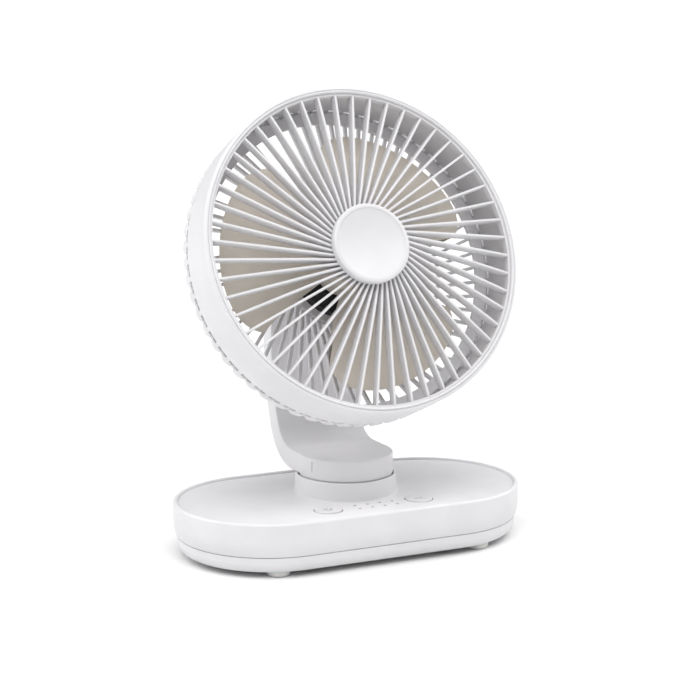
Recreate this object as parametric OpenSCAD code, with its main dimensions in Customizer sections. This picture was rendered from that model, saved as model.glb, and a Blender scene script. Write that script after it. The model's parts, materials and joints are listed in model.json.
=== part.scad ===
// Rechargeable desk fan: a swinging, tilting head on a low racetrack base.
// Millimetres, +Z up. The origin is on the resting surface under the middle of the base,
// the front faces -Y and the long side of the base runs along X.

/* [Base] */
// Length of the base along X
base_length = 188; // [184:1:192]
// Depth of the base along Y
base_depth = 100; // [98:1:102]
// Height of the raised rim above the table
base_height = 28.8; // [28.8:0.1:30]
// Height of the parting line between the two base shells
parting_height = 11; // [10:0.5:12]
// Height of the rubber feet that show under the base
foot_height = 2.5; // [2:0.1:3]
// Wall thickness of the moulded shells
wall = 2.2; // [1.8:0.1:2.4]

/* [Controls] */
// Radius of each push button
button_radius = 7; // [6:0.5:7.5]
// Distance from the middle to each button along X
button_offset = 25.6; // [24:0.2:27]
// Distance that a button travels when pressed
button_travel = 0.6; // [0.4:0.1:0.6]

/* [Arm] */
// Radius of the drum at the foot of the arm
drum_radius = 24.6; // [24:0.1:24.6]
// Thickness of the curved arm
arm_thickness = 10.8; // [10:0.1:11]
// Half width of the arm behind the drum
arm_half_width = 24.4; // [22:0.1:24.4]

/* [Head] */
// Tilt of the head above the horizontal
head_tilt = 24; // [10:1:90]
// Distance from the tilt pin to the front plane of the head
head_reach = 73; // [72.6:0.1:74]
// Outer radius of the front ring
ring_radius = 85.2; // [84:0.2:86]
// Depth of the front ring
ring_depth = 28; // [27:0.5:29]
// Number of fins in the front grille
fin_count = 52; // [40:1:56]
// Number of ribs in the rear cage
rib_count = 60; // [48:1:64]
// Radius of the centre cap
cap_radius = 20.6; // [19:0.2:21]

/* [Impeller] */
// Number of blades
blade_count = 3; // [3:1:4]
// Radius over the blade tips
blade_radius = 69; // [66:1:72]
// Angle that one blade covers, in degrees
blade_sweep = 90; // [60:1:90]

/* [Hidden] */
$fn = 96;
eps = 0.02;

// Base
end_radius = base_depth / 2;
end_offset = base_length / 2 - end_radius;
panel_top = base_height - 1.2;
panel_thickness = 1.8;
panel_under = panel_top - panel_thickness;
rim_width = 2.6;
rim_rounding = 1.5;
shell_bottom = foot_height;
floor_top = shell_bottom + wall;
foot_radius = 6;
foot_pocket = 0.8;
foot_peg = 2.4;
foot_x = 56;
foot_y = 37;
post_x = 36;
post_y = 38;
post_radius = 4;
screw_radius = 1.5;

side_bulge = 8;
side_radius = 18;
belly_inset = 1.8;
belly_radius = 6;

// Controls
button_y = -30;
button_proud = 0.6;
button_flange = 0.8;
led_pitch = 7;
led_rows = [-28, -34];
led_radius = 0.78;
board_top = 21;
board_thickness = 1.6;
board_half_length = 31;

// Turntable
swing_y = 3.5;
collar_top = base_height + 8.4;
collar_base_radius = 26.7;
collar_fillet = 0.6;
collar_top_radius = 26.1;
collar_bore = 25;
shelf_top = panel_top + 7;
shelf_thickness = 1.6;
spindle_radius = 12;
spindle_bore = 7;
running_gap = 0.05;
body_gap = 0.35;
gear_teeth = 40;
pinion_teeth = 12;
gear_module = 1;
gear_width = 3;
gear_top = 24.5;
backlash = 0.06;
gear_distance = gear_module * (gear_teeth + pinion_teeth) / 2 + 0.05;

// Arm
drum_floor = shelf_top + 1.3;
arm_skin = 2.4;
arm_bottom = collar_top + 0.4;
drum_inside = arm_bottom + arm_skin;
spine_z = arm_bottom + arm_thickness / 2;
half_t = arm_thickness / 2;
foot_bend_y = 20.3;
foot_bend_radius = 22.4;
foot_bend_angle = 68;
foot_bend_centre = [foot_bend_y, spine_z + foot_bend_radius];
back_bend_radius = 116;
back_bend_end = 104;
hollow_end = 95;
back_bend_start = foot_bend_centre + foot_bend_radius * [sin(foot_bend_angle), -cos(foot_bend_angle)];
back_bend_centre = back_bend_start + back_bend_radius * [-sin(foot_bend_angle), cos(foot_bend_angle)];
pivot_y = back_bend_centre[0] + back_bend_radius * sin(back_bend_end);
pivot_z = back_bend_centre[1] - back_bend_radius * cos(back_bend_end);
cover_gap = 0.15;
lead_radius = 1.2;
lead_rise = 0.6;
ear_radius = 11.5;
ear_inner = 10.6;
ear_outer = 23.8;
pin_radius = 3;
knuckle_radius = 9.4;
knuckle_half = 9.7;

// Head, measured back from the plane of the front lip
lip_inner = 82;
ring_inner = 82.8;
grille_outer = 81.9;
fin_thickness = 1.2;
fin_offset = 7.75;
fin_outer_depth = 4.6;
fin_inner_depth = 3;
grille_hub = 19.4;
cap_front = 7.8;
cap_back = 3.6;
flange_inner = 74.6;
flange_outer = 80.4;
flange_front = 26.8;
groove_floor = 31.2;
cage_edge_depth = 34.6;
cage_hub_depth = 41;
cage_hub_outer = 31;
cage_hub_inner = 27.4;
rib_offset = 15;
rib_width = 1.5;
tooth_width = 5.4;
housing_radius = 27.2;
housing_front = 35;
housing_back = 53;
neck_front = 11;

// Impeller and motor
hub_radius = 18;
hub_front = 9.6;
hub_back = 29;
blade_front = 16;
blade_back = 28.4;
blade_thickness = 1.5;
blade_start = 3;
can_radius = 14;
shaft_radius = 1.5;
plate_front = 29.8;

// ---------- shared shapes ----------

// Points on an arc about a centre, from one angle to another
function arc(centre, radius, from, to, steps) =
    [for (i = [0:steps]) centre + radius * [cos(from + (to - from) * i / steps),
                                            sin(from + (to - from) * i / steps)]];

// Solid whose outline is revolved at both ends of a racetrack and straight between them
module racetrack(outline) {
    for (side = [-1, 1])
        translate([side * end_offset, 0, 0]) rotate_extrude() polygon(outline);
    rotate([90, 0, 90]) linear_extrude(height = 2 * end_offset, center = true) {
        polygon(outline);
        mirror([1, 0]) polygon(outline);
    }
}

// Upright racetrack block from one height to another, cut in from the outside by inset
module racetrack_block(inset, from, to) {
    racetrack([[0, from], [end_radius - inset, from], [end_radius - inset, to], [0, to]]);
}

// Ring about Z from one height to another
module ring(outer, inner, from, to) {
    rotate_extrude() polygon([[inner, from], [outer, from], [outer, to], [inner, to]]);
}

// Cylinder about Z from one height to another
module rod(radius, from, to) {
    translate([0, 0, from]) cylinder(r = radius, h = to - from);
}

// Pan-head screw standing on its tip, head at the bottom
module screw_up(length) {
    rod(screw_radius, 0, length);
    rod(2 * screw_radius, -1.2, 0);
}

// Places its children on the turntable axis
module on_swing_axis() {
    translate([0, swing_y, 0]) children();
}

// Places its children in the head: Z out of the front, origin in the plane of the front lip
module in_head() {
    translate([0, pivot_y, pivot_z]) rotate([90 - head_tilt, 0, 0])
        translate([0, 0, head_reach]) children();
}

// ---------- base ----------

shell_side = concat(
    [[0, base_height]],
    arc([end_radius - rim_rounding, base_height - rim_rounding], rim_rounding, 90, 0, 6),
    [[end_radius, parting_height + side_bulge]],
    arc([end_radius - side_radius, parting_height + side_bulge], side_radius, 0, -26, 5)
);
belly_side = concat(
    [[end_radius - belly_inset, parting_height]],
    arc([end_radius - belly_inset - belly_radius, shell_bottom + belly_radius], belly_radius, 0, -90, 8),
    [[0, shell_bottom], [0, parting_height]]
);

module shell_outer() {
    intersection() {
        racetrack(concat(shell_side, [[0, parting_height]]));
        racetrack_block(0, parting_height + 0.15, base_height);
    }
}

module corner_posts() {
    for (sx = [-1, 1], sy = [-1, 1]) translate([sx * post_x, sy * post_y, 0]) children();
}

module top_shell() {
    color("white") difference() {
        union() {
            difference() {
                shell_outer();
                racetrack_block(rim_width, parting_height - 1, base_height + 1);
                racetrack_block(wall + 0.6, parting_height - 1, panel_under - 1.8);
            }
            difference() {
                racetrack_block(rim_width - 0.1, panel_under - 1.8, panel_under - eps);
                racetrack_block(rim_width + 7, panel_under - 2, panel_under + 1);
            }
            corner_posts() rod(post_radius, floor_top + 0.2, panel_under - eps);
        }
        corner_posts() rod(screw_radius + eps, 0, panel_under - 4);
        usb_opening();
        rim_inner_rounding();
    }
}

// Rounds the inner edge of the raised rim
module rim_inner_rounding() {
    edge = end_radius - rim_width;
    racetrack(concat(
        [[0, base_height + 0.1], [0, base_height - 1.1], [edge - 0.1, base_height - 1.1]],
        arc([edge + 1, base_height - 1], 1, 180, 90, 5),
        [[edge + 1, base_height + 0.1]]
    ));
}

module usb_opening() {
    translate([0, end_radius, usb_z]) rotate([90, 0, 0])
        linear_extrude(height = 12, center = true) usb_outline(4.8, 1.95);
}

// Rounded slot with the given half width and half height
module usb_outline(half_width, half_height) {
    square([2 * (half_width - half_height), 2 * half_height], center = true);
    for (side = [-1, 1])
        translate([side * (half_width - half_height), 0]) circle(r = half_height, $fn = 32);
}

module bottom_shell() {
    color("white") difference() {
        union() {
            difference() {
                racetrack(belly_side);
                racetrack_block(wall + 4, floor_top, parting_height + 1);
                racetrack_block(wall + 2.6, floor_top + 2.5, parting_height + 1);
            }
            corner_posts() rod(post_radius, shell_bottom + eps, floor_top);
            motor_posts() rod(2.6, shell_bottom, motor_base);
            board_posts() rod(2.4, shell_bottom, charge_board_z);
        }
        corner_posts() {
            rod(screw_radius + 0.2, 0, floor_top + 1);
            rod(2 * screw_radius + 0.3, 0, shell_bottom + 1.3);
        }
        foot_places() {
            rod(foot_peg, 0, floor_top + 1);
            rod(foot_radius + running_gap, 0, shell_bottom + foot_pocket);
        }
        motor_posts() rod(0.8, shell_bottom + 1.5, motor_base + 1);
        board_posts() rod(0.8, shell_bottom + 1.5, charge_board_z + 1);
    }
}

module foot_places() {
    for (sx = [-1, 1], sy = [-1, 1]) translate([sx * foot_x, sy * foot_y, 0]) children();
}

module foot(sx, sy) {
    color("gainsboro") translate([sx * foot_x, sy * foot_y, 0]) rotate_extrude()
        polygon(concat(
            [[0, 0], [foot_radius - 1.6, 0]],
            arc([foot_radius - 1.6, 1.6], 1.6, -90, 0, 5),
            [[foot_radius, shell_bottom + foot_pocket - eps],
             [foot_peg - running_gap, shell_bottom + foot_pocket - eps],
             [foot_peg - running_gap, floor_top], [0, floor_top]]
        ));
}

module base_screws() {
    color("silver") corner_posts()
        translate([0, 0, shell_bottom + 1.3]) difference() {
            screw_up(11);
            translate([0, 0, -1.3]) cylinder(r = 1, h = 0.8, $fn = 6);
        }
}

module button_places() {
    for (side = [-1, 1]) translate([side * button_offset, button_y, 0]) children();
}

module led_places() {
    for (i = [0:3], y = led_rows) translate([(i - 1.5) * led_pitch + 0.8, y, 0]) children();
}

module top_panel() {
    color("whitesmoke") difference() {
        union() {
            racetrack_block(rim_width + 0.15, panel_under, panel_top);
            on_swing_axis() collar();
        }
        button_places() rod(button_radius + 0.3, panel_under - 1, panel_top + 1);
        led_places() rod(led_radius + 0.02, panel_under - 1, panel_top + 1);
        on_swing_axis() {
            rod(spindle_radius + running_gap, 0, collar_top + 1);
            rod(collar_bore - 1.6, panel_under - 1, shelf_top - shelf_thickness);
            rod(collar_bore, shelf_top, collar_top + 1);
        }
    }
    color("whitesmoke") on_swing_axis()
        ring(spindle_radius + 3, spindle_radius + running_gap, gear_top + 0.3, shelf_top);
}

// Round collar that the drum of the arm turns in, with a small fillet at its foot
module collar() {
    rotate_extrude() polygon(concat(
        [[0, panel_top - 0.5], [collar_base_radius + collar_fillet, panel_top - 0.5],
         [collar_base_radius + collar_fillet, panel_top]],
        arc([collar_base_radius + collar_fillet, panel_top + collar_fillet], collar_fillet, -90, -180, 4),
        [[collar_top_radius, collar_top - 1]],
        arc([collar_top_radius - 0.7, collar_top - 0.7], 0.7, 0, 90, 4),
        [[0, collar_top]]
    ));
}

module button(side) {
    translate([side * button_offset, button_y, 0]) {
        rotate_extrude() polygon(concat(
            [[0, panel_under - body_gap], [button_radius, panel_under - body_gap],
             [button_radius, panel_top + button_proud - 0.4]],
            arc([button_radius - 0.4, panel_top + button_proud - 0.4], 0.4, 0, 90, 4),
            [[button_radius - 1.2, panel_top + button_proud - 0.15], [0, panel_top + button_proud - 0.2]]
        ));
        rod(button_radius + 1.2, panel_under - body_gap - button_flange, panel_under - body_gap);
    }
}

plunger_top = panel_under - body_gap - button_flange;
switch_top = plunger_top - button_travel - 0.2;

module power_button() {
    color("white") button(-1);
}

module swing_button() {
    color("white") button(1);
}

module plunger(side) {
    translate([side * button_offset, button_y, 0])
        rod(1.7, plunger_top - 1.6, plunger_top);
}

module power_switch_plunger() {
    color("dimgray") plunger(-1);
}

module swing_switch_plunger() {
    color("dimgray") plunger(1);
}

module tact_switches() {
    color("black") button_places() difference() {
        translate([-3, -3, board_top]) cube([6, 6, switch_top - board_top]);
        rod(1.8, plunger_top - 1.6 - button_travel - 0.1, switch_top + 1);
    }
}

module control_board() {
    color("darkgreen") translate([-board_half_length, button_y - 8, board_top - board_thickness])
        cube([2 * board_half_length, 11.6, board_thickness]);
}

module light_guides() {
    color("lightcyan") {
        led_places() rod(led_radius, board_top + 1.4, panel_top + 0.05);
        translate([-12.6, led_rows[1] - 1.5, board_top + 1.2]) cube([27, 9, 1]);
    }
}

module led_chips() {
    color("ivory") led_places() translate([-0.8, -0.6, board_top]) cube([1.6, 1.2, 0.7]);
}

// ---------- inside the base ----------

cell_radius = 9.1;
cell_length = 65;
cell_x = [46.5, 65.6];
cell_z = floor_top + 1 + cell_radius;
usb_z = 16.2;
usb_half_height = 1.6;
charge_board_z = usb_z - usb_half_height - board_thickness;
motor_base = 8;
motor_radius = 12;
motor_top = 19.2;

module battery_cells() {
    color("steelblue") for (x = cell_x)
        translate([x, 0, cell_z]) rotate([90, 0, 0]) {
            cylinder(r = cell_radius, h = cell_length - 1, center = true);
            translate([0, 0, cell_length / 2 - 0.5]) cylinder(r = 3, h = 0.5);
        }
}

module battery_cradle() {
    color("dimgray") difference() {
        translate([cell_x[0] - 9.5, -29.5, floor_top]) cube([cell_x[1] - cell_x[0] + 18.9, 59, 7]);
        for (x = cell_x) translate([x, 0, cell_z]) rotate([90, 0, 0])
            cylinder(r = cell_radius + 0.15, h = 67, center = true);
    }
}

module battery_tabs() {
    color("silver") for (y = [-cell_length / 2 - 0.45, cell_length / 2 + 0.15])
        translate([cell_x[0] - 4, y, cell_z - 3]) cube([cell_x[1] - cell_x[0] + 8, 0.3, 6]);
}

module ballast_holes() {
    for (y = [-18, 18]) translate([-60, y, 0]) children();
}

module ballast_plate() {
    color("gray") difference() {
        translate([-77, -25, floor_top]) cube([35, 50, 8]);
        ballast_holes() rod(1.8, floor_top - 1, floor_top + 9);
    }
}

module ballast_screws() {
    color("silver") ballast_holes() {
        rod(1.5, floor_top, floor_top + 8);
        rod(3, floor_top + 8, floor_top + 9.4);
    }
}

module board_posts() {
    for (x = [-13, 13]) translate([x, 30, 0]) children();
}

module charge_board() {
    color("darkgreen") difference() {
        translate([-17, 26, charge_board_z]) cube([34, 20.5, board_thickness]);
        board_posts() rod(1, charge_board_z - 1, charge_board_z + 3);
    }
    color("dimgray") {
        translate([-12, 32, charge_board_z + board_thickness]) cube([5, 5, 1]);
        translate([5, 31, charge_board_z + board_thickness]) cube([6.5, 6.5, 3]);
        translate([-4, 30, charge_board_z + board_thickness]) cube([4, 3, 1]);
    }
}

module usb_c_socket() {
    color("silver") translate([0, end_radius - 0.8, usb_z]) rotate([90, 0, 0]) difference() {
        linear_extrude(height = 7.4) usb_outline(4.47, usb_half_height);
        translate([0, 0, -1]) linear_extrude(height = 7.6) usb_outline(4.17, usb_half_height - 0.3);
    }
}

module usb_c_tongue() {
    color("black") translate([-3.3, end_radius - 7.4, usb_z - 0.35]) cube([6.6, 5.4, 0.7]);
}

module on_pinion_axis() {
    translate([-gear_distance, swing_y, 0]) children();
}

module motor_posts() {
    on_pinion_axis() for (y = [-17, 17]) translate([0, y, 0]) children();
}

module swing_motor() {
    color("silver") difference() {
        union() {
            on_pinion_axis() rod(motor_radius, floor_top + 0.3, motor_top);
            on_pinion_axis() translate([-3, -20, motor_base]) cube([6, 40, 1]);
        }
        motor_posts() rod(1, motor_base - 1, motor_base + 2);
        on_pinion_axis() rod(shaft_radius + running_gap, 12, motor_top + 1);
    }
}

module swing_motor_shaft() {
    color("gray") on_pinion_axis() rod(shaft_radius, 12.5, gear_top + 0.6);
}

// ---------- gears ----------

pressure_angle = 20;
flank_steps = 6;

// Angle between the start of an involute and its point at the given radius
function involute_angle(base, radius) =
    let (reach = sqrt(max(0, radius * radius / (base * base) - 1))) reach * 180 / PI - atan(reach);

// Outline of an involute spur gear with a tooth centred on +X
function gear_outline(teeth) =
    let (
        pitch = gear_module * teeth / 2,
        base = pitch * cos(pressure_angle),
        tip = pitch + gear_module,
        root = pitch - 1.25 * gear_module,
        start = max(root, base),
        half = 90 / teeth - backlash / pitch * 180 / PI / 2,
        at_pitch = involute_angle(base, pitch)
    ) [
        for (t = [0:teeth - 1]) each concat(
            [let (a = t * 360 / teeth - half - at_pitch - 0.3) root * [cos(a), sin(a)]],
            [for (i = [0:flank_steps])
                let (r = start + (tip - start) * i / flank_steps,
                     a = t * 360 / teeth - half - at_pitch + involute_angle(base, r)) r * [cos(a), sin(a)]],
            [for (i = [flank_steps:-1:0])
                let (r = start + (tip - start) * i / flank_steps,
                     a = t * 360 / teeth + half + at_pitch - involute_angle(base, r)) r * [cos(a), sin(a)]],
            [let (a = t * 360 / teeth + half + at_pitch + 0.3) root * [cos(a), sin(a)]]
        )
    ];

module turntable_gear() {
    color("ivory") on_swing_axis() difference() {
        translate([0, 0, gear_top - gear_width])
            linear_extrude(height = gear_width) polygon(gear_outline(gear_teeth));
        rod(spindle_radius + eps, 0, gear_top + 1);
        spindle_holes() rod(screw_radius, 0, gear_top + 1);
    }
}

module drive_pinion() {
    color("ivory") on_pinion_axis() difference() {
        translate([0, 0, gear_top - gear_width - 0.4]) rotate([0, 0, 180 / pinion_teeth])
            linear_extrude(height = gear_width + 0.8) polygon(gear_outline(pinion_teeth));
        rod(shaft_radius + eps, 0, gear_top + 2);
    }
}

module spindle_holes() {
    for (a = [45:90:359]) rotate([0, 0, a]) translate([15.5, 0, 0]) children();
}

// ---------- turntable ----------

module slip_washer() {
    color("lightgray") on_swing_axis() ring(22, 13, shelf_top, drum_floor - body_gap);
}

module turntable_spindle() {
    color("ivory") on_swing_axis() difference() {
        union() {
            rod(spindle_radius, gear_top - gear_width - 1.7, drum_inside + 1);
            rod(20, drum_inside + running_gap, drum_inside + 2);
        }
        rod(spindle_bore, 0, 60);
        spindle_flange_holes() rod(screw_radius, drum_floor, 60);
        ring(spindle_radius + 1, spindle_radius - 0.5, clip_z, clip_z + 1);
    }
}

clip_z = gear_top - gear_width - 1.2;

module spindle_flange_holes() {
    for (a = [45:90:359]) rotate([0, 0, a]) translate([16.5, 0, 0]) children();
}

module spindle_clip() {
    color("silver") on_swing_axis() difference() {
        ring(14.5, spindle_radius - 0.4, clip_z + eps, clip_z + 1 - eps);
        translate([8, -2, clip_z - 1]) cube([8, 4, 3]);
    }
}

module spindle_screws() {
    color("silver") on_swing_axis() spindle_flange_holes() {
        rod(screw_radius - eps, drum_floor + 0.4, drum_inside + 2);
        rod(2.6, drum_inside + 2, drum_inside + 3.4);
    }
}

// ---------- arm ----------

// Side view of the arm as (y, z) points, between two distances from its middle line:
// positive is the hollow side that faces the head, and the strip runs up to the given angle
function arm_side(low, high, front, last) = concat(
    [[front, spine_z + low]],
    arc(foot_bend_centre, foot_bend_radius - low, -90, foot_bend_angle - 90, 12),
    arc(back_bend_centre, back_bend_radius - low, foot_bend_angle - 90, last - 90, 12),
    arc(back_bend_centre, back_bend_radius - high, last - 90, foot_bend_angle - 90, 12),
    arc(foot_bend_centre, foot_bend_radius - high, foot_bend_angle - 90, -90, 12),
    [[front, spine_z + high]]
);

module side_extrude(half_width) {
    rotate([90, 0, 90]) linear_extrude(height = 2 * half_width, center = true) children();
}

// Plan view of the arm: round at the drum, then straight back
module arm_plan(inset) {
    on_swing_axis() circle(r = drum_radius - inset);
    translate([-arm_half_width + inset, swing_y]) square([2 * (arm_half_width - inset), 80]);
}

module arm_strip(low, high, inset, last) {
    intersection() {
        side_extrude(30) polygon(arm_side(low, high, -25, last));
        linear_extrude(height = 200) arm_plan(inset);
    }
}

module at_pivot() {
    translate([0, pivot_y, pivot_z]) children();
}

// Cylinder along X through the tilt pin, between two distances from the middle on both sides
module cheeks(radius, from, to) {
    at_pivot() for (side = [-1, 1])
        translate([side * (from + to) / 2, 0, 0]) rotate([0, 90, 0])
            cylinder(r = radius, h = to - from, center = true);
}

module across_pivot(radius, half_width) {
    at_pivot() rotate([0, 90, 0]) cylinder(r = radius, h = 2 * half_width, center = true);
}

module arm_shell() {
    color("white") difference() {
        union() {
            difference() {
                arm_strip(-half_t, half_t, 0, back_bend_end);
                arm_strip(-half_t + arm_skin, half_t + 1, arm_skin, hollow_end);
                on_swing_axis() rod(spindle_radius + 0.1, 30, 60);
            }
            on_swing_axis() ring(drum_radius, spindle_radius + 0.1, drum_floor, drum_floor + arm_skin);
            intersection() {
                cheeks(ear_radius, ear_inner, ear_outer);
                translate([-40, 0, pivot_z - 30]) cube([80, 100, 60]);
            }
        }
        across_pivot(knuckle_radius + 1.1, ear_inner);
        translate([-ear_inner, pivot_y - 30, pivot_z - 9]) cube([2 * ear_inner, 50, 30]);
        across_pivot(pin_radius + eps, 30);
        cheeks(7, ear_outer - 3, ear_outer + 5);
        on_swing_axis() spindle_flange_holes() rod(screw_radius, drum_floor - 1, 60);
        seam_slots();
    }
}

// Short upright joint lines on both sides of the drum
module seam_slots() {
    on_swing_axis() for (angle = [200, 340]) rotate([0, 0, angle])
        translate([drum_radius - 0.5, -0.2, arm_bottom + 0.4]) cube([1, 0.4, arm_thickness - 2]);
}

module arm_cover() {
    color("whitesmoke") arm_strip(half_t - arm_skin, half_t, arm_skin + cover_gap, hollow_end - 0.1);
}

module arm_lead() {
    color("dimgray") side_lead();
}

// Lead in the hollow of the arm, in three lengths laid end to end with a fine gap between them
module side_lead() {
    translate([0, foot_bend_centre[0], foot_bend_centre[1]]) rotate([90, 0, 90])
        rotate([0, 0, -90]) rotate_extrude(angle = foot_bend_angle - 1)
            translate([foot_bend_radius - lead_rise, 0]) circle(r = lead_radius);
    translate([0, back_bend_centre[0], back_bend_centre[1]]) rotate([90, 0, 90])
        rotate([0, 0, foot_bend_angle - 90]) rotate_extrude(angle = 25)
            translate([back_bend_radius - lead_rise, 0]) circle(r = lead_radius);
    translate([0, swing_y, spine_z + lead_rise]) rotate([-90, 0, 0])
        cylinder(r = lead_radius, h = foot_bend_y - swing_y - 0.4);
}

module tilt_pin() {
    color("silver") {
        across_pivot(pin_radius, ear_outer - 2);
        cheeks(5.2, ear_outer - 3, ear_outer - 1.6);
    }
}

module tilt_washers() {
    color("dimgray") difference() {
        cheeks(8, ear_inner - 0.55, ear_inner);
        across_pivot(pin_radius + eps, 30);
    }
}

module tilt_cap(side) {
    at_pivot() rotate([0, side * 90, 0]) rotate_extrude() polygon([
        [0, ear_outer - 1.5], [6.9, ear_outer - 1.5], [6.9, ear_outer - 0.2],
        [6.3, ear_outer + 0.3], [0, ear_outer + 0.6]
    ]);
}

module tilt_cap_left() {
    color("white") tilt_cap(-1);
}

module tilt_cap_right() {
    color("white") tilt_cap(1);
}

// ---------- head ----------

ring_side = concat(
    [[lip_inner, -1.6], [lip_inner, -0.7]],
    arc([lip_inner + 0.7, -0.7], 0.7, 180, 90, 3),
    arc([ring_radius - 2.4, -1.8], 1.8, 90, 20, 5),
    [[ring_radius - 0.3, -5], [ring_radius, -11], [ring_radius, -18], [ring_radius - 0.4, -25]],
    arc([ring_radius - 1.4, -ring_depth + 1], 1, 0, -90, 3),
    [[ring_inner, -ring_depth], [ring_inner, -1.6]]
);

module front_ring() {
    color("white") in_head() rotate_extrude() polygon(ring_side);
}

// One fin seen from its side: x is the distance along the fin, y is towards the front
fin_start = sqrt(pow(grille_hub - 1.5, 2) - fin_offset * fin_offset);
fin_end = sqrt(pow(grille_outer - 0.6, 2) - fin_offset * fin_offset);
fin_side = [
    [fin_start, 3.3], [fin_start + 14, 3], [fin_start + 34, 1.3], [fin_end - 4, -1.1],
    [fin_end, -1.6], [fin_end, -1.6 - fin_outer_depth], [fin_end - 8, -1.6 - fin_outer_depth],
    [fin_start + 8, -fin_inner_depth], [fin_start, -fin_inner_depth]
];

module fins() {
    for (i = [0:fin_count - 1])
        rotate([0, 0, fin_first + i * 360 / fin_count]) translate([0, fin_offset, 0]) rotate([90, 0, 0])
            linear_extrude(height = fin_thickness, center = true) polygon(fin_side);
}

fin_first = 2;

module front_grille() {
    color("whitesmoke") in_head() {
        fins();
        rotate_extrude() polygon([
            [grille_outer - 1.2, -1.7], [grille_outer, -1.7], [grille_outer, -5.4], [grille_outer - 1.2, -5.4]
        ]);
        difference() {
            rotate_extrude() polygon([
                [0, -2], [grille_hub - 2, -2], [grille_hub - 2, -fin_inner_depth - 0.4],
                [grille_hub, -fin_inner_depth - 0.4], [grille_hub, cap_back - 0.1], [0, cap_back - 0.1]
            ]);
            rod(2.1, -3, cap_back + 1);
        }
    }
}

module centre_cap() {
    color("white") in_head() rotate_extrude() polygon(concat(
        [[0, cap_back], [cap_radius, cap_back]],
        arc([cap_radius - 1.3, cap_front - 1.5], 1.3, 0, 80, 5),
        [[cap_radius - 4, cap_front], [0, cap_front + 0.2], [0, cap_back]]
    ));
    color("white") in_head() rod(2, -2, cap_back);
}

// One rear rib seen from its side, from the hub of the cage out to its rounded tooth
rib_start = sqrt(pow(cage_hub_outer - 2, 2) - rib_offset * rib_offset);
rib_end = sqrt(pow(ring_radius - 0.4, 2) - rib_offset * rib_offset);
rib_side = concat(
    [[rib_start, -cage_hub_depth + 2.6], [flange_inner - 14, -flange_front - 4.2],
     [rib_end - 8, -flange_front - 0.7], [rib_end - 3, -flange_front - 0.7],
     [rib_end - 3, -ring_depth - 3]],
    arc([rib_end - 4.2, -cage_edge_depth + 2.2], 1, 0, -90, 4),
    [[rib_end - 7, -ring_depth - 2.6], [flange_inner - 16, -flange_front - 7.6],
     [rib_start, -cage_hub_depth - 0.8]]
);

module ribs() {
    for (i = [0:rib_count - 1]) rotate([0, 0, i * 360 / rib_count]) {
        translate([0, -rib_offset, 0]) rotate([90, 0, 0])
            linear_extrude(height = rib_width, center = true) polygon(rib_side);
        intersection() {
            translate([0, -rib_offset, 0]) rotate([90, 0, 0])
                linear_extrude(height = tooth_width, center = true) polygon(concat(
                    [[rib_end - 1.2, -ring_depth - 0.5]],
                    arc([rib_end - 3, -cage_edge_depth + 3.4], 3, 0, -90, 5),
                    [[rib_end - 5, -cage_edge_depth + 0.4], [rib_end - 5, -groove_floor - 0.8],
                     [rib_end - 1.2, -groove_floor - 0.8]]
                ));
            rod(ring_radius, -50, 0);
        }
    }
}

module rear_cage() {
    color("whitesmoke") in_head() difference() {
        union() {
            ribs();
            rotate_extrude() polygon([
                [flange_inner, -flange_front], [flange_outer, -flange_front],
                [flange_outer, -groove_floor], [ring_radius - 2.3, -groove_floor],
                [ring_radius - 2.3, -ring_depth - 0.4], [ring_radius - 1.2, -ring_depth - 0.4],
                [ring_radius - 1.2, -groove_floor - 1.6], [flange_outer - 1.4, -groove_floor - 1.6],
                [flange_outer - 1.4, -flange_front - 1.8], [flange_inner, -flange_front - 1.8]
            ]);
            ring(cage_hub_outer, cage_hub_inner, -cage_hub_depth - 2, -housing_front);
            ring(cage_hub_inner + eps, 22.5, -cage_hub_depth - 2, -cage_hub_depth);
        }
        housing_screws() rod(screw_radius + 0.2, -60, 0);
    }
}

module housing_screws() {
    for (a = [30:120:359]) rotate([0, 0, a]) translate([24.6, 0, 0]) children();
}

module motor_housing() {
    color("white") in_head() difference() {
        union() {
            rotate_extrude() polygon(concat(
                [[0, -cage_hub_depth - 2.2], [housing_radius, -cage_hub_depth - 2.2]],
                arc([housing_radius - 5, -housing_back + 5], 5, 0, -90, 6),
                [[0, -housing_back]]
            ));
            rotate([90, 0, 90]) linear_extrude(height = 2 * knuckle_half, center = true) polygon([
                [-neck_front, 3 - housing_back], [neck_front, 3 - housing_back],
                [knuckle_radius - 1, -head_reach + 4], [1 - knuckle_radius, -head_reach + 4]
            ]);
            knuckle_solid();
        }
        rotate_extrude() polygon([
            [0, -cage_hub_depth - 3.4], [20, -cage_hub_depth - 3.4], [20, -cage_hub_depth + 5],
            [0, -cage_hub_depth + 5]
        ]);
        rotate_extrude() polygon([
            [0, -housing_back + 3], [16, -housing_back + 3], [20, -cage_hub_depth - 3],
            [0, -cage_hub_depth - 3]
        ]);
        translate([0, 0, -head_reach]) rotate([0, 90, 0])
            cylinder(r = pin_radius + running_gap, h = 60, center = true);
        housing_screws() rod(screw_radius - 0.2, -cage_hub_depth - 8, 0);
    }
}

module knuckle_solid() {
    translate([0, 0, -head_reach]) rotate([0, 90, 0])
        cylinder(r = knuckle_radius, h = 2 * knuckle_half, center = true);
}

module motor_plate() {
    color("black") in_head() difference() {
        rotate_extrude() polygon([
            [0, -plate_front], [cage_hub_inner - 0.1, -plate_front],
            [cage_hub_inner - 0.1, -cage_hub_depth + eps], [22, -cage_hub_depth + eps],
            [22, -plate_front - 2], [0, -plate_front - 2]
        ]);
        rod(4 + eps, -60, 0);
        housing_screws() rod(screw_radius - 0.2, -60, -plate_front - 1.4);
    }
}

module motor_board() {
    color("darkgreen") in_head() ring(20, 5, -plate_front - 4.4, -plate_front - 3);
}

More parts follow.
